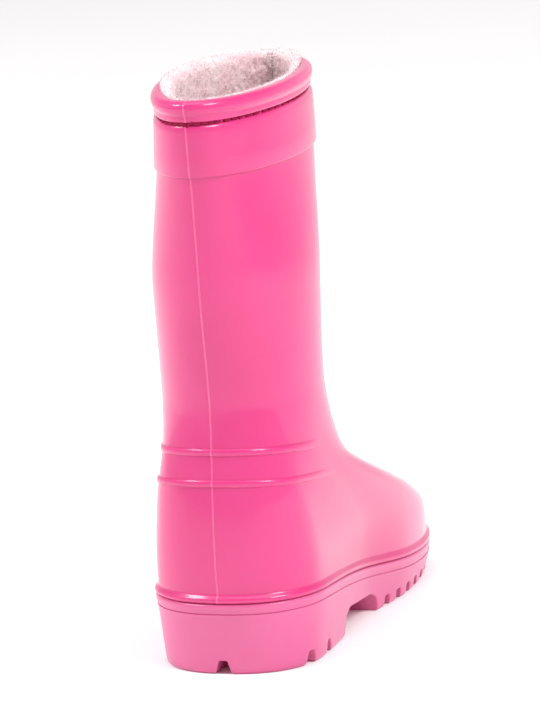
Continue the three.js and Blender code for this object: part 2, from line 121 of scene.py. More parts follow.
def leg_up(share):
    return mix(CALF_UP, BOOT_HEIGHT, share)


TOE = SOLE_LENGTH - SIDE_INSET
SHIN = BACK_ANKLE + ANKLE_DEPTH
CALF_FRONT = BACK_CALF + CALF_DEPTH
TOP_FRONT = BACK_TOP + TOP_DEPTH
KNUCKLE = TOE - 0.054
BETWEEN_UP = (ANKLE_UP + CALF_UP) / 2
# Sections of the last: back point along and up, front point along and up, half width, and the share that the
# sole's outline has in the shape.
LAST = np.array([
    (SIDE_INSET, HEEL_SEAT, TOE, float(seat_up(TOE)), ANKLE_HALF + 0.0025, 1),
    (0.001, heel_up(0.11), TOE + 0.0004, TOE_SEAT + 0.009, ANKLE_HALF + 0.0025, 1),
    (0.0008, heel_up(0.22), TOE - 0.002, TOE_CAP_UP - 0.006, ANKLE_HALF + 0.0023, 0.98),
    (0.001, heel_up(0.32), TOE - 0.0135, TOE_CAP_UP, ANKLE_HALF + 0.002, 0.92),
    (0.0015, heel_up(0.415), TOE - 0.031, mix(TOE_CAP_UP, VAMP_UP, 0.45), ANKLE_HALF + 0.0017, 0.83),
    (0.0022, heel_up(0.505), KNUCKLE, VAMP_UP, ANKLE_HALF + 0.0014, 0.72),
    (0.003, heel_up(0.595), mix(KNUCKLE, SHIN, 0.43), mix(VAMP_UP, INSTEP_UP, 0.44), ANKLE_HALF + 0.0006,
     0.57),
    (0.0039, heel_up(0.69), mix(KNUCKLE, SHIN, 0.74), INSTEP_UP - 0.004, ANKLE_HALF, 0.4),
    (0.0047, heel_up(0.79), SHIN + 0.008, mix(INSTEP_UP, ANKLE_UP, 0.21), ANKLE_HALF - 0.0002, 0.23),
    (0.0054, heel_up(0.895), SHIN + 0.0026, mix(INSTEP_UP, ANKLE_UP, 0.6), ANKLE_HALF, 0.08),
    (BACK_ANKLE, ANKLE_UP, SHIN, ANKLE_UP - 0.001, ANKLE_HALF, 0),
    (mix(BACK_ANKLE, BACK_CALF, 0.2), mix(ANKLE_UP, BETWEEN_UP, 0.5), SHIN - 0.0002,
     mix(ANKLE_UP, BETWEEN_UP, 0.5), mix(ANKLE_HALF, CALF_HALF, 0.2), 0),
    (mix(BACK_ANKLE, BACK_CALF, 0.5), BETWEEN_UP, mix(SHIN, CALF_FRONT, 0.25), BETWEEN_UP,
     mix(ANKLE_HALF, CALF_HALF, 0.5), 0),
    (mix(BACK_ANKLE, BACK_CALF, 0.82), mix(BETWEEN_UP, CALF_UP, 0.5), mix(SHIN, CALF_FRONT, 0.6),
     mix(BETWEEN_UP, CALF_UP, 0.5), mix(ANKLE_HALF, CALF_HALF, 0.85), 0),
    (BACK_CALF, CALF_UP, CALF_FRONT, CALF_UP, CALF_HALF, 0),
    (0.002, leg_up(0.18), mix(CALF_FRONT, TOP_FRONT, 0.22), leg_up(0.18), mix(CALF_HALF, TOP_HALF, 0.15), 0),
    (0.0014, leg_up(0.37), mix(CALF_FRONT, TOP_FRONT, 0.5), leg_up(0.37), mix(CALF_HALF, TOP_HALF, 0.4), 0),
    (0.0006, leg_up(0.57), mix(CALF_FRONT, TOP_FRONT, 0.82), leg_up(0.57), mix(CALF_HALF, TOP_HALF, 0.66), 0),
    (-0.0003, leg_up(0.78), mix(CALF_FRONT, TOP_FRONT, 0.97), leg_up(0.78), mix(CALF_HALF, TOP_HALF, 0.86),
     0),
    (BACK_TOP, BOOT_HEIGHT, TOP_FRONT, BOOT_HEIGHT - 0.0005, TOP_HALF, 0),
])


def last_at(level):
    """The last's section at a level from 0 at the seat to 1 at the rim, on a smooth curve."""
    rows = np.vstack([2 * LAST[0] - LAST[1], LAST, 2 * LAST[-1] - LAST[-2]])
    spot = np.clip(level, 0, 1) * (len(LAST) - 1)
    first = np.minimum(spot.astype(int), len(LAST) - 2)
    t = (spot - first)[..., None]
    a, b, c, d = rows[first], rows[first + 1], rows[first + 2], rows[first + 3]
    return 0.5 * (2 * b + (c - a) * t + (2 * a - 5 * b + 4 * c - d) * t**2 + (3 * b - 3 * c + d - a) * t**3)


def form_point(level, angle):
    level, angle = np.broadcast_arrays(np.asarray(level, float), np.asarray(angle, float))
    section = last_at(level)
    run, side = (1 - np.cos(angle)) / 2, np.sin(angle)
    side = np.where(np.abs(side) < 1e-9, 0, side)
    along = mix(section[..., 0], section[..., 2], run)
    share = np.clip(section[..., 5], 0, 1)
    sole_along = run * SOLE_LENGTH
    waist = mix(WAIST_WIDTH, FULL_WAIST, smooth(level, 0.02, 0.18))
    flank = np.sign(side) * (sole_half(sole_along, 0.0, waist) - SIDE_INSET * np.abs(side))
    across = mix(side * section[..., 4], flank, share) + share * sole_shift(sole_along)
    settle = 1 - smooth(level, 0, 4 / (len(LAST) - 1))
    seat = seat_up(np.clip(along, 0, SOLE_LENGTH)) - mix(seat_up(0.0), seat_up(SOLE_LENGTH), run)
    up = mix(section[..., 1], section[..., 3], run) + settle * seat
    up = up + RIM_RISE * np.maximum(-side, 0) ** 3 * smooth(level, 0.75, 1)
    return np.stack([across, along, up], axis=-1)


def surface(level, angle, relief=0.0):
    """Points of the last's surface moved out by a relief, in the frame, with their outward normals."""
    step = 1e-3
    upwards = form_point(np.minimum(level + step, 1), angle) - form_point(np.maximum(level - step, 0), angle)
    turn = form_point(level, angle + 20 * step) - form_point(level, angle - 20 * step)
    normal = np.cross(turn, upwards)
    normal /= np.linalg.norm(normal, axis=-1, keepdims=True)
    point = form_point(level, angle)
    moved = point + normal * np.asarray(relief)[..., None]
    moved[..., 2] = np.where(level <= 0, point[..., 2], moved[..., 2])
    return place(moved[..., 0], moved[..., 1], moved[..., 2]), normal * np.array([-1, -1, 1])


LEVEL_TABLE = np.linspace(0, 1, 2000)
UP_TABLE = last_at(LEVEL_TABLE)[:, 1]


def level_at(up):
    return np.interp(up, UP_TABLE, LEVEL_TABLE)


def deselect():
    if bpy.context.object and bpy.context.object.mode != "OBJECT":
        bpy.ops.object.mode_set(mode="OBJECT")
    bpy.ops.object.select_all(action="DESELECT")


def rolled(name, rows):
    """A sheet of rows of points, rolled until its edges meet and are welded. Row order gives the outside."""
    rows = np.asarray(rows)
    rows = np.concatenate([rows, rows[:, :1]], axis=1)
    count, columns = rows.shape[:2]
    deselect()
    bpy.ops.mesh.primitive_grid_add(x_subdivisions=columns - 1, y_subdivisions=count - 1, size=1)
    sheet = bpy.context.object
    sheet.name = sheet.data.name = name
    sheet.data.vertices.foreach_set("co", rows.reshape(-1).astype(np.float32))
    sheet.data.update()
    bpy.ops.object.mode_set(mode="EDIT")
    bpy.ops.mesh.select_all(action="SELECT")
    bpy.ops.mesh.remove_doubles(threshold=2e-6)
    bpy.ops.object.mode_set(mode="OBJECT")
    return sheet


def capped(piece):
    """Closes the open ends of a rolled sheet and turns its faces outwards."""
    deselect()
    piece.select_set(True)
    bpy.context.view_layer.objects.active = piece
    bpy.ops.object.mode_set(mode="EDIT")
    bpy.ops.mesh.select_all(action="DESELECT")
    bpy.ops.mesh.select_non_manifold(extend=False)
    bpy.ops.mesh.fill_holes(sides=0)
    bpy.ops.mesh.select_all(action="SELECT")
    bpy.ops.mesh.normals_make_consistent(inside=False)
    bpy.ops.object.mode_set(mode="OBJECT")
    return piece


def soften(piece, angle):
    deselect()
    piece.select_set(True)
    bpy.context.view_layer.objects.active = piece
    bpy.ops.object.shade_smooth_by_angle(angle=math.radians(angle))


def join(first, others, name):
    deselect()
    for piece in [first, *others]:
        piece.select_set(True)
    bpy.context.view_layer.objects.active = first
    bpy.ops.object.join()
    first.name = first.data.name = name
    return first


class Field:
    """A socket that takes arithmetic: an expression on fields adds the Math nodes for it."""

    def __init__(self, tree, socket):
        self.tree, self.socket = tree, socket

    def node(self, kind, settings=None, out=0, **inputs):
        """Any other node: its type, its settings, and its sockets by name, or by number as i0 and so on."""
        made = self.tree.nodes.new("ShaderNode" + kind)
        for key, value in (settings or {}).items():
            setattr(made, key, value)
        for key, value in inputs.items():
            numbered = key[0] == "i" and key[1:].isdigit()
            socket = made.inputs[int(key[1:]) if numbered else key.replace("_", " ")]
            if isinstance(value, Field):
                self.tree.links.new(value.socket, socket)
            elif value is not None:
                socket.default_value = value
        return Field(self.tree, made.outputs[out])

    def math(self, operation, other):
        return self.node("Math", {"operation": operation}, i0=self, i1=other)

    def __add__(self, other):
        return self.math("ADD", other)

    __radd__ = __add__

    def __mul__(self, other):
        return self.math("MULTIPLY", other)

    __rmul__ = __mul__

    def clamp(self):
        return self.node("Clamp", None, i0=self)

    def between(self, low, high):
        settings = {"interpolation_type": "SMOOTHSTEP"}
        return self.node("MapRange", settings, Value=self, From_Min=low, From_Max=high)

    def blend(self, a, b):
        return self.node("Mix", {"data_type": "RGBA"}, out=2, i0=self, i6=a, i7=b)


def finish_of(name, **constants):
    """A new material, with its object coordinates as a field and a function that feeds its sockets."""
    material = bpy.data.materials.new(name)
    material.use_nodes = True
    tree = material.node_tree
    shader = tree.nodes["Principled BSDF"]
    for key, value in constants.items():
        shader.inputs[key.replace("_", " ")].default_value = value
    start = Field(tree, tree.nodes.new("ShaderNodeTexCoord").outputs["Object"])

    def feed(height=None, strength=0.3, distance=0.001, **links):
        for key, field in links.items():
            tree.links.new(field.socket, shader.inputs[key.replace("_", " ")])
        if height is not None:
            bump = start.node("Bump", None, Strength=strength, Distance=distance, Height=height)
            tree.links.new(bump.socket, shader.inputs["Normal"])

    return material, start, feed


def colour(hexed):
    """A linear colour from the usual six figures."""
    parts = [int(hexed[i:i + 2], 16) / 255 for i in (0, 2, 4)]
    return tuple(p / 12.92 if p <= 0.04045 else ((p + 0.055) / 1.055) ** 2.4 for p in parts) + (1,)


WELT_RELIEF, WELT_BEAD = 0.0016, 0.0013
BAND_RELIEF, BAND_LENGTH = 0.0012, 0.0205
BEAD_RELIEF, BEAD_HEIGHT, LEDGE_HEIGHT, STITCH_GROOVE = 0.0019, 0.0056, 0.0026, 0.0008
RIB_UP, RIB_RELIEF, RIB_HALF, RIB_PITCH = 0.0755, 0.0008, 0.0014, 0.012
BEAD_UP = BOOT_HEIGHT - BEAD_HEIGHT
LEDGE_UP = BEAD_UP - LEDGE_HEIGHT
GROOVE_UP = LEDGE_UP - STITCH_GROOVE
BAND_UP = GROOVE_UP - BAND_LENGTH
GROOVE_DEPTH = 0.0004

# Outline of the rim seen from the side, height and relief: the collar band, the stitch groove, the ledge and
# the rolled bead.
RIM_OUTLINE = [
    (BAND_UP - 0.0009, 0), (BAND_UP - 0.0003, 0.00002), (BAND_UP - 0.0001, 0.0004),
    (BAND_UP - 0.00005, 0.0008), (BAND_UP + 0.00012, 0.00108), (BAND_UP + 0.0005, BAND_RELIEF),
    (mix(BAND_UP, GROOVE_UP, 0.35), BAND_RELIEF), (mix(BAND_UP, GROOVE_UP, 0.7), BAND_RELIEF),
    (GROOVE_UP - 0.0031, BAND_RELIEF), (GROOVE_UP - 0.002, 0.00113), (GROOVE_UP - 0.0012, 0.00092),
    (GROOVE_UP - 0.0006, 0.00058), (GROOVE_UP - 0.0002, 0.00015), (GROOVE_UP, -0.0003),
    (GROOVE_UP + 0.0001, -GROOVE_DEPTH), (LEDGE_UP - 0.0001, -GROOVE_DEPTH), (LEDGE_UP, -0.0003),
    (LEDGE_UP + 0.00015, 0.0004), (LEDGE_UP + 0.0005, 0.0008), (LEDGE_UP + 0.0011, 0.0009),
    (BEAD_UP - 0.0003, 0.00075), (BEAD_UP + 0.0001, 0.0008), (BEAD_UP + 0.0005, 0.0012),
    (BEAD_UP + 0.0012, 0.00165), (BEAD_UP + 0.0021, BEAD_RELIEF), (BEAD_UP + 0.0032, BEAD_RELIEF),
    (BEAD_UP + 0.0041, 0.0017), (BEAD_UP + 0.0048, 0.0013), (BEAD_UP + 0.0053, 0.0006),
    (BEAD_UP + 0.00555, -0.0002), (BOOT_HEIGHT, -0.001),
]


def arc(up, centre, half, height):
    """Relief of a rib with a round section."""
    return height * np.sqrt(np.maximum(1 - ((up - centre) / half) ** 2, 0))


def rib_fade(angle):
    """The ankle ribs run out before they reach the front."""
    return 1 - smooth(np.abs(np.sin(angle / 2)), 0.42, 0.68)


def outside_relief(up, angle):
    above = up - HEEL_SEAT - WELT_BEAD
    under = arc(above, 0, WELT_BEAD * 1.04, WELT_RELIEF)
    over = WELT_RELIEF * (1 - smooth(above, 0.0003, WELT_BEAD * 1.9))
    ribs = sum(arc(up, centre, RIB_HALF, RIB_RELIEF) for centre in (RIB_UP, RIB_UP + RIB_PITCH))
    return np.where(above < 0, under, over) + ribs * rib_fade(angle)


def spaced_ups():
    """Heights of the shell's rows: close together where something is moulded, wide apart elsewhere."""
    ups = [HEEL_SEAT + WELT_BEAD * t for t in np.linspace(0, 3.6, 19)]
    for centre in (RIB_UP, RIB_UP + RIB_PITCH):
        ups += list(centre + RIB_HALF * 1.06 * np.sin(np.linspace(-math.pi / 2, math.pi / 2, 13)))
    ups += list(np.linspace(ups[18] + 0.001, RIB_UP - RIB_HALF - 0.001, 24))
    ups += list(np.linspace(RIB_UP + RIB_HALF + 0.001, RIB_UP + RIB_PITCH - RIB_HALF - 0.001, 6))
    ups += list(np.linspace(RIB_UP + RIB_PITCH + RIB_HALF + 0.001, RIM_OUTLINE[0][0] - 0.001, 56))
    return np.array(sorted(ups))


ROUND, INNER_ROWS = 216, 60
turn_angles = np.linspace(0, 2 * math.pi, ROUND, endpoint=False)
side_ups = spaced_ups()
outer_ups = np.concatenate([side_ups, [up for up, _ in RIM_OUTLINE]])
rim_reliefs = np.array([relief for _, relief in RIM_OUTLINE])
grid_up, grid_angle = np.meshgrid(outer_ups, turn_angles, indexing="ij")
grid_relief = outside_relief(grid_up, grid_angle)
grid_relief[len(side_ups):] = rim_reliefs[:, None]
outer_rows = surface(level_at(grid_up), grid_angle, grid_relief)[0]
inner_grid = np.meshgrid(np.linspace(1, 0, INNER_ROWS), turn_angles, indexing="ij")
inner_rows = surface(*inner_grid, np.full((INNER_ROWS, ROUND), -SHELL_WALL))[0]
shell_rows = np.concatenate([outer_rows, inner_rows, outer_rows[:1]])
shell = rolled("upper_shell_visual", shell_rows)
soften(shell, 50)

# The two halves of the mould leave a fine raised seam down the back and the front of the shell.
SEAM_HALF, SEAM_HEIGHT, SEAM_SUNK, SEAM_ROOT = 0.00042, 0.00028, 0.0001, 0.0005
seams = []
for at in (0.0, math.pi):
    reliefs = np.concatenate([outside_relief(side_ups, at), rim_reliefs])
    crest, normal = surface(level_at(outer_ups), np.full(len(outer_ups), at), reliefs)
    side_way = np.array([1.0, 0, 0])
    strip = []
    for turn in np.linspace(0, math.pi, 7):
        out = normal * (SEAM_HEIGHT * math.sin(turn) - SEAM_SUNK)
        strip.append(crest + side_way * SEAM_HALF * math.cos(turn) + out)
    strip.append(crest - normal * SEAM_ROOT)
    rows = np.stack(strip, axis=1)
    seam = capped(rolled("mould_seam", rows if at else rows[:, ::-1]))
    bpy.ops.object.shade_smooth()
    seams.append(seam)
shell_pink, coord, feed = finish_of(
    "shell_pink", Roughness=0.3, IOR=1.5, Coat_Weight=0.65, Coat_Roughness=0.07, Subsurface_Weight=0.12,
    Subsurface_Radius=(1.0, 0.35, 0.5), Subsurface_Scale=0.002)
drift = coord.node("TexNoise", None, Vector=coord, Scale=18, Detail=3, Roughness=0.5)
grain = coord.node("TexNoise", None, Vector=coord, Scale=2600, Detail=2, Roughness=0.6)
ripple = coord.node("TexNoise", None, Vector=coord, Scale=85, Detail=2, Roughness=0.4)
feed(
    Base_Color=drift.between(0.3, 0.7).blend(colour("c51d6c"), colour("cd2675")),
    Roughness=0.32 + drift * 0.06 + grain * 0.04,
    height=ripple * 0.6 + grain * 0.05, strength=0.12, distance=0.0004)
# Painted highlight: the seam's pinks are lighter than the shell's, standing for the light that the raised
# line catches.
seam_highlight_pink, coord, feed = finish_of("seam_highlight_pink", Roughness=0.3, Coat_Weight=0.3, Subsurface_Weight=0.2,
                                   Subsurface_Radius=(1.0, 0.5, 0.6), Subsurface_Scale=0.001)
flash = coord.node("TexNoise", None, Vector=coord, Scale=240, Detail=2)
feed(Base_Color=flash.blend(colour("e0447f"), colour("e85a90")), height=flash, strength=0.15, distance=0.0003)
shell.data.materials.append(shell_pink)
for seam in seams:
    seam.data.materials.append(seam_highlight_pink)
join(shell, seams, "upper_shell_visual")
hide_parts("upper_shell")
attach(shell, "boot")

# ---------------------------------------------------------------------------------------- outsole
# The sole is moulded on under the shell in one piece of half-gloss PVC: a bead under the joint, a fine
# parting line, a hollow heel with notches, an arch, and a forefoot tread of side lugs and cross channels.
WALL_TOP, TAPER = 0.0007, 0.0024
ARCH_RISE, TREAD_START = 0.0106, 0.1045
LUG_PITCH, LUG_GAP, LUG_DEPTH, LUG_REACH = 0.0106, 0.0048, 0.0044, 0.015
HOLLOW_WALL, HEEL_FLOOR, ABOVE_SOLE = 0.009, 0.01, 0.04
NOTCH_RISE, SIDE_NOTCH, BACK_NOTCH, NOTCH_REACH = 0.0054, 0.006, 0.0065, 0.012
NOTCHES = (0.0215, 0.0385)
EDGE, JOINT, WALL_START, WALL_END, SPINE_INSET = 0.0007, 0.00003, 0.0056, 0.0026, 0.0255

# Rings of the sole from the joint down to the ground: inset from the outline, and height from the seat or
# from the ground.
SOLE_RINGS = [
    (0.0014, "seat", -JOINT), (0.0009, "seat", -0.00012), (0.00045, "seat", -0.00035),
    (0.00015, "seat", -0.0007), (0, "seat", -0.0012), (0.00005, "seat", -0.0018), (0.0002, "seat", -0.0024),
    (0.00038, "seat", -0.003), (0.00055, "seat", -0.0037), (0.0006, "seat", -0.004),
    (0.00085, "seat", -0.0042), (0.00087, "seat", -0.0043), (0.00045, "seat", -0.0044),
    (0.0004, "seat", -0.0047), (0.0005, "seat", -0.005), (WALL_TOP, "seat", -WALL_START),
    (mix(WALL_TOP, TAPER, 0.35), "mid", 0.35), (mix(WALL_TOP, TAPER, 0.7), "mid", 0.7),
    (TAPER, "ground", WALL_END), (TAPER + 0.00012, "ground", 0.0017), (TAPER + 0.00045, "ground", 0.0008),
    (TAPER + 0.0009, "ground", 0.00025), (TAPER + 0.0015, "ground", 0), (0.008, "ground", 0),
    (0.014, "ground", 0), (0.02, "ground", 0), (SPINE_INSET, "ground", 0),
]


def ring_height(along, kind, lift):
    if kind == "mid":
        return mix(seat_up(along) - WALL_START, spring_up(along) + WALL_END, lift)
    return (seat_up(along) if kind == "seat" else spring_up(along)) + lift


SOLE_ROUND = 224
sole_turn = np.linspace(0, 2 * math.pi, SOLE_ROUND, endpoint=False)


def sole_ring(inset, kind, lift, narrow=1.0):
    """A ring of the sole's outline, moved in by an inset. Narrow 0 closes it to a line."""
    along = inset + (1 - np.cos(sole_turn)) / 2 * (SOLE_LENGTH - 2 * inset)
    side = np.where(np.abs(np.sin(sole_turn)) < 1e-9, 0, np.sign(np.sin(sole_turn)))
    across = sole_shift(along) + side * sole_half(along, inset) * narrow
    return place(across, along, ring_height(along, kind, lift))


top_insets = [(SPINE_INSET, 0.0), (0.02, 1), (0.014, 1), (0.008, 1), (0.004, 1)]
blank_rows = [sole_ring(inset, "seat", -JOINT, narrow) for inset, narrow in top_insets]
blank_rows += [sole_ring(*ring) for ring in SOLE_RINGS]
blank_rows.append(sole_ring(SPINE_INSET, "ground", 0, 0.0))
sole = rolled("outsole_visual", blank_rows[::-1])


def wall_inset(along, up):
    """How far the sole's tapered wall stands in from the outline at a height."""
    low, high = spring_up(along) + WALL_END, seat_up(along) - WALL_START
    return mix(TAPER, WALL_TOP, np.clip((up - low) / (high - low), 0, 1))


def side_wall(along, up, side):
    return sole_shift(along) + side * sole_half(along, wall_inset(along, up))


def back_wall(across, up):
    inset = wall_inset(0.01, up)
    width = 1 - np.clip(np.abs(across) / (HEEL_WIDTH / 2 - inset), 0, 1) ** 2.3
    return inset + (HEEL_CORNER - inset) * (1 - width ** (1 / 2.3))


def grown(outline, by):
    """An outline moved outwards by a distance."""
    ahead, behind = np.roll(outline, -1, axis=0), np.roll(outline, 1, axis=0)
    run = ahead - behind
    out = np.stack([run[:, 1], -run[:, 0]], axis=1) / np.linalg.norm(run, axis=1, keepdims=True)
    return outline + out * np.reshape(by, (-1, 1))


def filled(points, steps=4):
    """A polygon with its marked corners rounded: each point is (along, up) or (along, up, radius)."""
    rounded = []
    count = len(points)
    for i, point in enumerate(points):
        here = np.array(point[:2])
        radius = point[2] if len(point) > 2 else 0
        to_last = np.array(points[i - 1][:2]) - here
        to_next = np.array(points[(i + 1) % count][:2]) - here
        last_way, next_way = to_last / np.linalg.norm(to_last), to_next / np.linalg.norm(to_next)
        reach = min(radius, np.linalg.norm(to_last) * 0.45, np.linalg.norm(to_next) * 0.45)
        if reach <= 0:
            rounded.append(here)
            continue
        for t in np.linspace(0, 1, steps + 1):
            rounded.append(here + last_way * reach * (1 - t) ** 2 + next_way * reach * t**2)
    return np.array(rounded)


def flare(depth):
    """How far a cut widens just inside the wall, which leaves its edge rounded."""
    return EDGE - math.sqrt(max(EDGE**2 - (EDGE - max(depth, 0)) ** 2, 0)) if depth < EDGE else 0.0


OUT_DEPTHS = [-0.006, 0.0, 0.00005, 0.00015, 0.0003, 0.0005, EDGE]


def side_cutter(outline, side, reach, through=False):
    """A cut across the sole from its side wall. The outline is (along, up), anticlockwise."""
    rows = []
    for depth in OUT_DEPTHS:
        shape = grown(outline, flare(depth))
        rows.append(place(side_wall(shape[:, 0], shape[:, 1], side) - side * depth, shape[:, 0], shape[:, 1]))
    if through:
        for depth in OUT_DEPTHS[::-1]:
            shape = grown(outline, flare(depth))
            far_wall = side_wall(shape[:, 0], shape[:, 1], -side)
            rows.append(place(far_wall + side * depth, shape[:, 0], shape[:, 1]))
    else:
        for depth, shrink in ((reach - 0.0008, 0), (reach - 0.0002, 0.0003), (reach, 0.0009)):
            shape = grown(outline, -shrink)
            centre = side_wall(outline[:, 0].mean(), outline[:, 1].mean(), side)
            wall = mix(side_wall(shape[:, 0], shape[:, 1], side), centre, 0.6)
            rows.append(place(wall - side * depth, shape[:, 0], shape[:, 1]))
    return capped(rolled("cut", rows))


BELOW = -0.004
arch_line = filled([
    (HEEL_BREAST - 0.0009, BELOW), (HEEL_BREAST - 0.0009, 0), (HEEL_BREAST - 0.0004, 0.0002),
    (HEEL_BREAST, 0.0009), (HEEL_BREAST + 0.0022, ARCH_RISE - 0.0028, 0.003),
    (HEEL_BREAST + 0.007, ARCH_RISE, 0.004), (TREAD_START - 0.007, ARCH_RISE - 0.002, 0.004),
    (TREAD_START - 0.002, ARCH_RISE - 0.0045, 0.002), (TREAD_START - 0.0003, 0.001), (TREAD_START, 0.0002),
    (TREAD_START + 0.0005, 0), (TREAD_START + 0.0005, BELOW)])[::-1]
cutters = [side_cutter(arch_line, 1, 0, through=True)]
lug_start = TREAD_START + 0.006
while lug_start < SOLE_LENGTH - 0.012:
    depth = LUG_DEPTH + float(spring_up(lug_start))
    gap = filled([
        (lug_start - EDGE, BELOW), (lug_start + LUG_GAP + EDGE, BELOW), (lug_start + LUG_GAP + EDGE, 0.0001),
        (lug_start + LUG_GAP, EDGE, 0.0004), (lug_start + LUG_GAP - 0.0006, depth, 0.0009),
        (lug_start + 0.0006, depth, 0.0009), (lug_start, EDGE, 0.0004), (lug_start - EDGE, 0.0001)])
    cutters += [side_cutter(gap, side, LUG_REACH) for side in (-1, 1)]
    lug_start += LUG_PITCH


def notch_line(at, mouth):
    return filled([
        (at - mouth / 2 - EDGE, BELOW), (at + mouth / 2 + EDGE, BELOW), (at + mouth / 2 + EDGE, 0.0001),
        (at + mouth / 2 - 0.0001, EDGE, 0.0004), (at + mouth / 4, NOTCH_RISE, 0.0006),
        (at - mouth / 4, NOTCH_RISE, 0.0006), (at - mouth / 2 + 0.0001, EDGE, 0.0004),
        (at - mouth / 2 - EDGE, 0.0001)])


for along in NOTCHES:
    cutters += [side_cutter(notch_line(along, SIDE_NOTCH), side, NOTCH_REACH) for side in (-1, 1)]
back_rows = []
for depth in [*OUT_DEPTHS, NOTCH_REACH - 0.0008, NOTCH_REACH]:
    shape = grown(notch_line(0, BACK_NOTCH), flare(depth) if depth < NOTCH_REACH else -0.0006)
    back_rows.append(place(shape[:, 0], back_wall(shape[:, 0], shape[:, 1]) + depth, shape[:, 1]))
cutters.append(capped(rolled("cut", back_rows)))

# The tread between the side lugs: three cross channels stop short of the lugs.
CHANNELS, CHANNEL_STOP, CHANNEL_MOUTH, CHANNEL_FLOOR, CHANNEL_DEPTH = (
    (0.137, 0.153, 0.169), 0.004, 0.0016, 0.0009, 0.0026)
for along in CHANNELS:
    reach = float(sole_half(along)) - LUG_REACH - CHANNEL_STOP
    channel = filled([
        (along - CHANNEL_MOUTH, BELOW), (along + CHANNEL_MOUTH, BELOW), (along + CHANNEL_MOUTH, 0.0012),
        (along + CHANNEL_FLOOR, CHANNEL_DEPTH, 0.0006), (along - CHANNEL_FLOOR, CHANNEL_DEPTH, 0.0006),
        (along - CHANNEL_MOUTH, 0.0012)])
    shift = float(sole_shift(along))
    rows = [place(np.full(len(channel), shift + side * reach), *grown(channel, -trim).T)
            for side, trim in ((-1, 0.0005), (-0.97, 0), (0.97, 0), (1, 0.0005))]
    cutters.append(capped(rolled("cut", rows)))

# The pocket for the heel's filler, open upwards.
core_inset = TAPER + HOLLOW_WALL - FIT_GAP
CORE_ROUND = 96
core_turn = np.linspace(0, 2 * math.pi, CORE_ROUND, endpoint=False)
core_end = HEEL_BREAST - HOLLOW_WALL + FIT_GAP
core_along = mix(core_inset + 0.0004, core_end, (1 - np.cos(core_turn)) / 2)
core_half = np.minimum(sole_half(core_along, core_inset), HEEL_WIDTH / 2 - core_inset)
core_side = core_half * np.clip(np.sin(core_turn) * 4, -1, 1)
core_rows = [place(core_side, core_along, np.full(CORE_ROUND, up)) for up in (HEEL_FLOOR, ABOVE_SOLE)]
cutters.append(capped(rolled("cut", core_rows)))

for cutter in cutters:
    trim = sole.modifiers.new("cut", "BOOLEAN")
    trim.operation, trim.object, trim.solver = "DIFFERENCE", cutter, "MANIFOLD"
    deselect()
    sole.select_set(True)
    bpy.context.view_layer.objects.active = sole
    bpy.ops.object.modifier_apply(modifier=trim.name)
    deselect()
    cutter.select_set(True)
    bpy.ops.object.delete()
soften(sole, 38)

sole_pink, coord, feed = finish_of(
    "sole_pink", Roughness=0.36, IOR=1.5, Coat_Weight=0.45, Coat_Roughness=0.12, Subsurface_Weight=0.12,
    Subsurface_Radius=(1.0, 0.35, 0.5), Subsurface_Scale=0.002)
drift = coord.node("TexNoise", None, Vector=coord, Scale=22, Detail=3)
grain = coord.node("TexNoise", None, Vector=coord, Scale=1500, Detail=2)
scuff = coord.node("TexNoise", None, Vector=coord, Scale=160, Detail=4, Roughness=0.7)
feed(
    Base_Color=drift.between(0.3, 0.7).blend(colour("ca5186"), colour("d15b8f")),
    Roughness=0.3 + drift * 0.08 + scuff * 0.08,
    height=grain * 0.3 + scuff * 0.5, strength=0.12, distance=0.0003)
sole.data.materials.clear()
sole.data.materials.append(sole_pink)
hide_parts("outsole")
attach(sole, "boot")

# ---------------------------------------------------------------------------- heel filler and insole board
# A block of closed-cell foam fills the hollow heel, and a thin board of pressed fibre closes the sole above
# it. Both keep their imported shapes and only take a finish.


def dress(node, material):
    """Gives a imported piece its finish."""
    piece = bpy.data.objects[node]
    piece.data.materials.clear()
    piece.data.materials.append(material)


filler_foam, coord, feed = finish_of("filler_foam", Roughness=0.9)
cells = coord.node("TexVoronoi", None, Vector=coord, Scale=900)
feed(
    Base_Color=cells.blend(colour("f0c9d8"), colour("f7e2ea")), height=cells, strength=0.5, distance=0.0004)
dress("heel_filler", filler_foam)

board_fibre, coord, feed = finish_of("board_fibre", Roughness=0.9)
fibres = coord.node("TexNoise", None, Vector=coord, Scale=420, Detail=6, Roughness=0.75, Distortion=1.5)
feed(
    Base_Color=fibres.between(0.3, 0.7).blend(colour("a58c6c"), colour("cdb896")),
    height=fibres, strength=0.4, distance=0.0004)
dress("insole_board", board_fibre)

# ---------------------------------------------------------------------------------------- lining
# White curly plush lines the boot: a medial and a lateral panel sewn together down the back and the front,
# glued along the rim, where the pile swells up over the edge, and a bottom panel on the board.
PLUSH = 0.0034
LINING_OUT = -(SHELL_WALL + FIT_GAP)
LINING_IN = LINING_OUT - PLUSH
BOTTOM_TOP, BOTTOM_SPACE = 0.00535, 0.001
LINING_LOW = float(level_at(HEEL_SEAT + BOTTOM_TOP + BOTTOM_SPACE))
SEAM_ANGLE, JOINED_ANGLE = 0.0024 / (2 * TOP_HALF), 0.012


def lattice(ix, iy, iz, seed):
    """A fixed random value from 0 to 1 for each cell."""
    mixed = (ix * 73856093) ^ (iy * 19349663) ^ (iz * 83492791) ^ (seed * 2654435761)
    mixed = (mixed ^ (mixed >> 13)) * 1274126177
    return ((mixed ^ (mixed >> 16)) & 0xFFFF) / 65535.0


def cloud(points, size, seed):
    """Smooth random values from 0 to 1 at points, changing over about one size."""
    spot = points / size
    base = np.floor(spot).astype(np.int64)
    t = spot - base
    t = t * t * (3 - 2 * t)
    total = 0
    for corner in range(8):
        bits = np.array([corner & 1, corner >> 1 & 1, corner >> 2 & 1])
        weight = np.prod(np.where(bits, t, 1 - t), axis=-1)
        total = total + weight * lattice(*np.moveaxis(base + bits, -1, 0), seed)
    return total


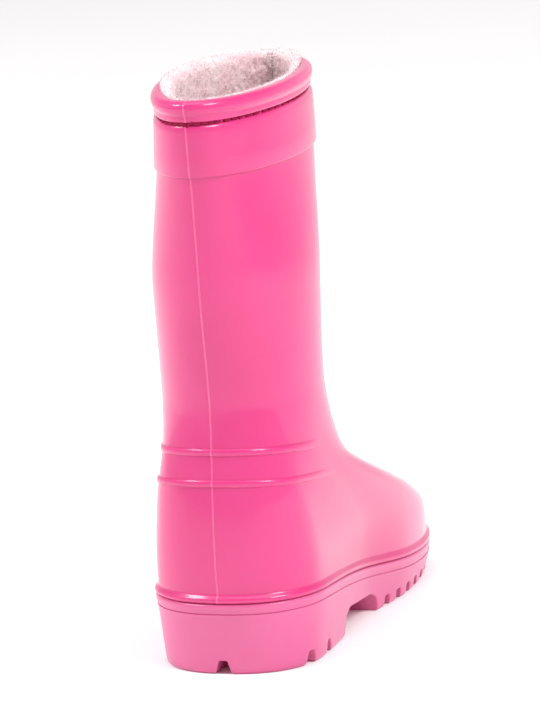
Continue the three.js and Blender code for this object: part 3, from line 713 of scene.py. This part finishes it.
def curls(points, seed=1):
    """Height of curly pile from 0 to 1: rounded lumps a few millimetres across with finer locks on them."""
    warp = np.stack([cloud(points, 0.004, seed + k) for k in (11, 12, 13)], axis=-1) - 0.5
    lumps = 1 - np.abs(2 * cloud(points + warp * 0.003, 0.0042, seed) - 1)
    locks = 1 - np.abs(2 * cloud(points + warp * 0.004, 0.0019, seed + 5) - 1)
    return 0.25 * cloud(points, 0.011, seed + 3) + 0.45 * lumps + 0.3 * locks


def shade_pile(piece, seed=1):
    """Keeps the height of the curls on the mesh, where the plush's colour reads it to paint shade into the
    low hollows, and smooths the piece.
    """
    shade = piece.data.attributes.new("pile", "FLOAT", "POINT")
    spots = np.empty(len(piece.data.vertices) * 3)
    piece.data.vertices.foreach_get("co", spots)
    shade.data.foreach_set("value", curls(spots.reshape(-1, 3), seed).astype(np.float32))
    soften(piece, 80)


# Outline of the plush at the rim, relief from the last and height above the rim: where it lies low inside the
# rim, at the back, and where it swells over the rim, at the front and on the lateral side.
LOW_ROLL = np.array([
    (-0.00315, -0.0014), (-0.0033, -0.001), (-0.0037, -0.0007), (-0.0042, -0.0005), (-0.0048, -0.0005),
    (-0.0054, -0.0007), (-0.006, -0.0011), (-0.0063, -0.0016), (-0.00635, -0.0022)])
HIGH_ROLL = np.array([
    (-0.0028, 0.0002), (-0.0014, 0.0001), (-0.0006, 0.0004), (-0.0008, 0.0009), (-0.002, 0.0013),
    (-0.0038, 0.0013), (-0.0054, 0.0008), (-0.0066, -0.0002), (-0.0069, -0.0014)])
ROLL = len(LOW_ROLL)
OUTER_ROWS, NEAR_ROWS, FAR_ROWS, COLUMNS = 40, 50, 66, 190
FINE_DEPTH, RIM_REACH = 0.032, 0.018
TUCK, LOW_DIP, HIGH_DIP = 0.0018, 0.0024, 0.0008
CURL, RIM_CURL, CURL_ROOT = 0.0016, 0.0011, 0.2
pile_rows = {}


def lining_panel(name, way):
    """A panel on one side, way 1 for medial. Rows run up its outer face, over the rim and down inside."""
    outer_levels = np.linspace(LINING_LOW, 1, OUTER_ROWS)
    near, top = level_at(BOOT_HEIGHT - FINE_DEPTH), level_at(BOOT_HEIGHT - 0.0003)
    inner_levels = np.concatenate([
        np.linspace(top, near, NEAR_ROWS), np.linspace(near, LINING_LOW, FAR_ROWS)[1:]])
    levels = np.concatenate([outer_levels, np.ones(ROLL), inner_levels])
    inner = len(inner_levels)
    over_rim = slice(OUTER_ROWS, OUTER_ROWS + ROLL)
    inside = slice(OUTER_ROWS + ROLL, None)
    depth = np.concatenate([np.zeros(OUTER_ROWS), np.linspace(0.1, 1, ROLL), np.ones(inner)])
    edge = mix(SEAM_ANGLE, JOINED_ANGLE, depth)[:, None]
    angles = edge + (math.pi - 2 * edge) * np.linspace(0, 1, COLUMNS)[None, :]
    angles = angles if way > 0 else 2 * math.pi - angles[:, ::-1]
    front = smooth(-0.75 * np.cos(angles) - 0.66 * np.sin(angles), -0.45, 0.45)
    rolls = mix(LOW_ROLL[:, None, :], HIGH_ROLL[:, None, :], front[over_rim][..., None])
    reliefs, lifts = np.full(angles.shape, LINING_IN), np.zeros(angles.shape)
    reliefs[:OUTER_ROWS] = LINING_OUT
    reliefs[over_rim], lifts[over_rim] = rolls[..., 0], rolls[..., 1]
    lifts[:OUTER_ROWS] -= TUCK * (1 - front[:OUTER_ROWS]) * smooth(outer_levels, 0.9, 1)[:, None]
    lifts[inside] -= mix(LOW_DIP, HIGH_DIP, front[inside]) * np.exp(-np.arange(inner) / 4)[:, None]
    points, normals = surface(np.repeat(levels[:, None], COLUMNS, 1), angles, reliefs)
    points[..., 2] += lifts
    up_way = np.zeros_like(normals)
    up_way[..., 2] = 1
    over = np.concatenate([
        np.zeros(OUTER_ROWS), np.sin(np.linspace(0.3, math.pi * 0.62, ROLL)),
        0.55 * np.exp(-np.arange(inner) / 6)])[:, None, None]
    out_way = -normals * (1 - over) + up_way * over
    out_way /= np.linalg.norm(out_way, axis=-1, keepdims=True)
    # The pile is fullest at the front and on the lateral side, and thin where the hand pulls the boot on.
    full = 0.2 + 1.1 * front
    near_rim = np.exp(-np.maximum(BOOT_HEIGHT - points[..., 2], 0) / RIM_REACH)
    height = depth[:, None] * (curls(points) - CURL_ROOT) * (CURL + RIM_CURL * full * near_rim)
    points = points + out_way * height[..., None]
    piece = capped(rolled(name, np.swapaxes(points, 0, 1)))
    pile_rows[way] = (points, out_way)
    shade_pile(piece)
    return piece


plush, coord, feed = finish_of(
    "plush", Roughness=1.0, Sheen_Weight=0.4, Sheen_Roughness=0.6, Subsurface_Weight=0.25,
    Subsurface_Radius=(1.0, 0.7, 0.75), Subsurface_Scale=0.002)
lump = coord.node("Attribute", {"attribute_name": "pile"}, out=2)
wisps = coord.node("TexNoise", None, Vector=coord, Scale=900, Detail=4, Roughness=0.7, Distortion=1.2)
tint = coord.node("TexNoise", None, Vector=coord, Scale=70, Detail=2)
# Painted shade: the plush is coloured darker pink, c98f9c, where the curls are low and white on their crowns,
# mottled by the fine wisps.
shadow = lump.between(0.1, 0.55)
white = tint.between(0.35, 0.65).blend(colour("dcbcc1"), colour("e4cfd0"))
feed(
    Base_Color=(shadow * 0.75 + wisps * 0.25).clamp().blend(colour("c98f9c"), white),
    height=wisps, strength=0.6, distance=0.0006)

for node, way in (("lining_medial", 1), ("lining_lateral", -1)):
    panel = lining_panel(node + "_visual", way)
    panel.data.materials.append(plush)
    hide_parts(node)
    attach(panel, "boot")

# Loose locks of the pile, thickest over the rim: each is a three-sided curl that tapers to a point.
LOCKS, LOCK_LENGTH, LOCK_WIDTH, LOCK_ROOT, LOCK_SCATTER = 10500, 0.001, 0.00022, 0.0003, 0.00025
LOCK_ROWS, LOCK_CURL, LOCK_SIDES = ROLL + 46, 2.2, 3
draw = np.random.RandomState(7)


def lock_mesh(count):
    bases, ways = [], []
    for way in (1, -1):
        points, out_way = pile_rows[way]
        row = OUTER_ROWS + (draw.rand(count) ** 1.3 * LOCK_ROWS).astype(int)
        column = draw.randint(0, points.shape[1], count)
        bases.append(points[row, column] + draw.normal(0, LOCK_SCATTER, (count, 3)))
        ways.append(out_way[row, column])
    base, way = np.concatenate(bases), np.concatenate(ways)
    total = len(base)
    lean = draw.normal(0, 0.55, (total, 3))
    start = way + lean * 0.6
    start /= np.linalg.norm(start, axis=1, keepdims=True)
    bend = np.cross(start, draw.normal(0, 1, (total, 3)))
    bend /= np.linalg.norm(bend, axis=1, keepdims=True)
    length = LOCK_LENGTH * (0.5 + draw.rand(total))[:, None]
    side = np.cross(start, bend)
    corners = []
    for t, width in ((0, 1), (0.35, 0.95), (0.7, 0.7)):
        ahead, aside = math.sin(LOCK_CURL * t) / LOCK_CURL, (1 - math.cos(LOCK_CURL * t)) / LOCK_CURL
        centre = base + length * (start * ahead + bend * aside)
        centre -= way * (LOCK_ROOT * (1 - t))
        for k in range(LOCK_SIDES):
            turn = 2 * math.pi * k / LOCK_SIDES
            corners.append(centre + LOCK_WIDTH / 2 * width * (bend * math.cos(turn) + side * math.sin(turn)))
    ahead, aside = math.sin(LOCK_CURL) / LOCK_CURL, (1 - math.cos(LOCK_CURL)) / LOCK_CURL
    corners.append(base + length * (start * ahead + bend * aside))
    faces = [(2, 1, 0)]
    for ring in (0, 3):
        faces += [(ring + k, ring + (k + 1) % 3, ring + 3 + (k + 1) % 3, ring + 3 + k) for k in range(3)]
    faces += [(6 + k, 6 + (k + 1) % 3, 9) for k in range(3)]
    mesh = bpy.data.meshes.new("lining_pile")
    spots = np.stack(corners, axis=1).reshape(-1, 3).tolist()
    mesh.from_pydata(spots, [], [[v + 10 * i for v in face] for i in range(total) for face in faces])
    mesh.update()
    return mesh


pile = bpy.data.objects.new("lining_pile", lock_mesh(LOCKS // 2))
bpy.context.collection.objects.link(pile)
capped(pile)
soften(pile, 120)
lock_white, coord, feed = finish_of(
    "lock_white", Roughness=0.9, Sheen_Weight=0.5, Subsurface_Weight=0.3,
    Subsurface_Radius=(1.0, 0.8, 0.8), Subsurface_Scale=0.001)
strand = coord.node("TexNoise", None, Vector=coord, Scale=260, Detail=2)
feed(Base_Color=strand.between(0.3, 0.7).blend(colour("dabbc1"), colour("e6d2d4")))
pile.data.materials.append(lock_white)
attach(pile, "boot")

SHEET_ROWS, SHEET_COLUMNS = 150, 40


def plush_sheet(name, inset, toe_room, low, thick, crown, seed):
    """A sheet of plush cut to the sole's outline, lying at a height above the seat, curls upwards."""
    run = (1 - np.cos(np.linspace(0, math.pi, SHEET_ROWS))) / 2
    along = mix(inset + 0.0006, SOLE_LENGTH - inset - toe_room - 0.0006, run)
    outline = inset + (along - inset) * (SOLE_LENGTH - 2 * inset) / (SOLE_LENGTH - 2 * inset - toe_room)
    half = sole_half(outline, inset)
    # Round the section once: share of the half width and share of the thickness.
    flat = np.linspace(-0.97, 0.97, SHEET_COLUMNS)
    across = np.concatenate([flat, [0.985, 1, 0.985], flat[::-1], [-0.985, -1, -0.985]])
    lift = np.concatenate([np.zeros(SHEET_COLUMNS), [0.1, 0.5, 0.9], np.ones(SHEET_COLUMNS), [0.9, 0.5, 0.1]])
    points = place(
        sole_shift(along)[:, None] + half[:, None] * across[None, :],
        np.repeat(along[:, None], len(across), 1), (seat_up(along) + low)[:, None] + thick * lift[None, :])
    points[..., 2] += (curls(points, seed) - 0.5) * crown * (lift[None, :] > 0.6)
    piece = capped(rolled(name, points))
    shade_pile(piece, seed)
    piece.data.materials.append(plush)
    return piece


# The bottom panel lies on the board, under the insole.
bottom = plush_sheet(
    "lining_bottom_visual", inset=0.00495, toe_room=0, low=0.00195, thick=0.0031, crown=0.0006, seed=23)
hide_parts("lining_bottom")
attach(bottom, "boot")

# The two seams are sewn with white twist.
white_twist, coord, feed = finish_of("white_twist", Roughness=0.85, Sheen_Weight=0.3)
ply = coord.node("TexWave", {"bands_direction": "DIAGONAL"}, Vector=coord, Scale=700, Distortion=0.5)
feed(Base_Color=ply.blend(colour("d9c8cc"), colour("f6eeee")), height=ply, strength=0.6, distance=0.0003)
dress("lining_back_seam", white_twist)
dress("lining_front_seam", white_twist)

# ---------------------------------------------------------------------------------------- insole
# The loose insole is a foam sheet with a plush face, cut to the sole's outline and dropped in on the bottom
# panel of the lining.
insole_foam, coord, feed = finish_of("insole_foam_finish", Roughness=0.95)
pores = coord.node("TexVoronoi", None, Vector=coord, Scale=1200)
feed(Base_Color=pores.blend(colour("eccdd9"), colour("f7e7ee")), height=pores, strength=0.5, distance=0.0003)
dress("insole_foam", insole_foam)

cover = plush_sheet(
    "insole_cover_visual", inset=0.00955, toe_room=0.006, low=0.00965, thick=0.0024, crown=0.0011, seed=31)
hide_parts("insole_cover")
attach(cover, "insole")

# ---------------------------------------------------------------------------------------- rim stitch
# Dark red sewing thread fixes the rolled rim's ledge to the plush: short slanted stitches sunk in the groove.
STITCHES, THREAD, THREAD_SIDES, STITCH_LENGTH, STITCH_SUNK = 62, 0.00026, 8, 0.001, -0.00018
LOOSE_REACH = 0.5
deselect()
bpy.ops.mesh.primitive_cylinder_add(
    vertices=THREAD_SIDES, radius=THREAD, depth=STITCH_LENGTH, end_fill_type="NGON")
stitch = bpy.context.object
stitch.name = "stitch"
bpy.ops.object.mode_set(mode="EDIT")
bpy.ops.mesh.select_all(action="DESELECT")
bpy.ops.mesh.select_face_by_sides(number=THREAD_SIDES)
bpy.ops.mesh.inset(thickness=THREAD * 0.4, depth=THREAD * 0.35)
bpy.ops.mesh.inset(thickness=THREAD * 0.35, depth=THREAD * 0.12)
bpy.ops.object.mode_set(mode="OBJECT")
bpy.ops.object.shade_smooth()
pick = random.Random(5)
groove_middle = (GROOVE_UP + LEDGE_UP) / 2
stitches = []
# The thread is looser and thicker at the back, where the seam starts and ends.
for number in range(STITCHES):
    at = 2 * math.pi * (number + 0.5 + pick.uniform(-0.12, 0.12)) / STITCHES
    loose = math.exp(-((at / LOOSE_REACH) ** 2)) + math.exp(-(((2 * math.pi - at) / LOOSE_REACH) ** 2))
    half = math.pi / STITCHES * (0.58 + pick.uniform(-0.12, 0.1) + 0.3 * loose)
    slant = pick.uniform(-0.0001, 0.0003) + loose * pick.uniform(-0.0008, 0.0006)
    ends = []
    for sign in (-1, 1):
        level = level_at(np.array([groove_middle + sign * slant]))
        sunk = np.array([STITCH_SUNK + loose * 0.0005])
        ends.append(Vector(surface(level, np.array([at + sign * half]), sunk)[0][0]))
    copy = stitch.copy()
    copy.data = stitch.data.copy()
    bpy.context.collection.objects.link(copy)
    along_way = ends[1] - ends[0]
    stretch = Matrix.Diagonal((1.1 + loose * 0.7, 1.1 + loose * 0.7, along_way.length / STITCH_LENGTH, 1))
    turn = along_way.to_track_quat("Z", "Y").to_matrix().to_4x4()
    copy.data.transform(Matrix.Translation((ends[0] + ends[1]) / 2) @ turn @ stretch)
    stitches.append(copy)
deselect()
stitch.select_set(True)
bpy.ops.object.delete()
thread = join(stitches[0], stitches[1:], "rim_stitch_visual")
thread_red, coord, feed = finish_of("thread_red", Roughness=0.9, Specular_IOR_Level=0.2)
ply = coord.node("TexWave", {"bands_direction": "DIAGONAL"}, Vector=coord, Scale=900, Distortion=1)
feed(Base_Color=ply.blend(colour("74102e"), colour("9c1a44")), height=ply, strength=0.5, distance=0.0002)
thread.data.materials.append(thread_red)
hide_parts("rim_stitch")
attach(thread, "boot")

# ---------------------------------------------------------------------------------------- stage
# A plain pale floor, two wide soft boxes high at the sides, two small ones that the gloss mirrors, a soft
# light from overhead, and the camera behind the boot on its medial side.
deselect()
bpy.ops.mesh.primitive_plane_add(size=30)
floor = bpy.context.object
floor.name = "floor"
floor_white, coord, feed = finish_of("floor_white", Roughness=0.9)
floor_mottle = coord.node("TexNoise", None, Vector=coord, Scale=3)
feed(Base_Color=floor_mottle.blend(colour("f6f4f4"), colour("fbfafa")))
floor.data.materials.append(floor_white)

# The studio's walls are bright, and its ceiling is darker.
HORIZON_LIGHT, ZENITH_LIGHT = 0.96, 0.42
world = bpy.data.worlds.new("studio")
bpy.context.scene.world = world
world.use_nodes = True
tree = world.node_tree
tree.nodes["Background"].inputs["Color"].default_value = (1, 0.985, 0.99, 1)
direction = tree.nodes.new("ShaderNodeTexCoord")
heights = tree.nodes.new("ShaderNodeSeparateXYZ")
fade = tree.nodes.new("ShaderNodeMapRange")
fade.interpolation_type = "SMOOTHSTEP"
fade.inputs["From Max"].default_value = 0.6
fade.inputs["To Min"].default_value = HORIZON_LIGHT
fade.inputs["To Max"].default_value = ZENITH_LIGHT
tree.links.new(direction.outputs["Generated"], heights.inputs["Vector"])
tree.links.new(heights.outputs["Z"], fade.inputs["Value"])
tree.links.new(fade.outputs["Result"], tree.nodes["Background"].inputs["Strength"])


def soft_box(name, turn, rise, distance, size, power, glossy=True):
    """A soft box aimed at the boot, turned from the heel's direction towards the lateral side."""
    light = bpy.data.lights.new(name, "AREA")
    light.shape, light.size, light.size_y, light.energy = "RECTANGLE", size[0], size[1], power
    holder = bpy.data.objects.new(name, light)
    bpy.context.collection.objects.link(holder)
    turn, rise = math.radians(turn), math.radians(rise)
    middle = Vector((0, 0, BOOT_HEIGHT / 2))
    way = Vector((math.sin(turn) * math.cos(rise), math.cos(turn) * math.cos(rise), math.sin(rise)))
    holder.location = middle + way * distance
    holder.rotation_euler = (-way).to_track_quat("-Z", "Y").to_euler()
    holder.visible_camera = False
    holder.visible_glossy = glossy


soft_box("medial_box", -84, 34, 1.8, (1.2, 1.0), 13, glossy=False)
soft_box("lateral_box", 84, 34, 1.8, (1.2, 1.0), 11, glossy=False)
soft_box("medial_glint", -64, 46, 1.4, (0.5, 0.42), 9)
soft_box("lateral_glint", 58, 46, 1.4, (0.42, 0.42), 8)
overhead = bpy.data.lights.new("overhead", "SUN")
overhead.energy, overhead.angle = 1.0, math.radians(50)
bpy.context.collection.objects.link(bpy.data.objects.new("overhead", overhead))

camera = bpy.data.cameras.new("camera")
camera.lens, camera.sensor_width = 311, 36
camera.clip_end = 50
holder = bpy.data.objects.new("camera", camera)
bpy.context.collection.objects.link(holder)
CAMERA_TURN, CAMERA_DROP, CAMERA_ROLL = math.radians(199.02), math.radians(11.73), math.radians(-3.5)
CAMERA_SPOT = place(0.7825, -2.1899, 0.6061)
holder.matrix_world = (
    Matrix.Translation(Vector(CAMERA_SPOT)) @ Matrix.Rotation(CAMERA_TURN, 4, "Z")
    @ Matrix.Rotation(math.pi / 2 - CAMERA_DROP, 4, "X") @ Matrix.Rotation(CAMERA_ROLL, 4, "Z"))
bpy.context.scene.camera = holder
bpy.context.scene.view_settings.view_transform = "Standard"
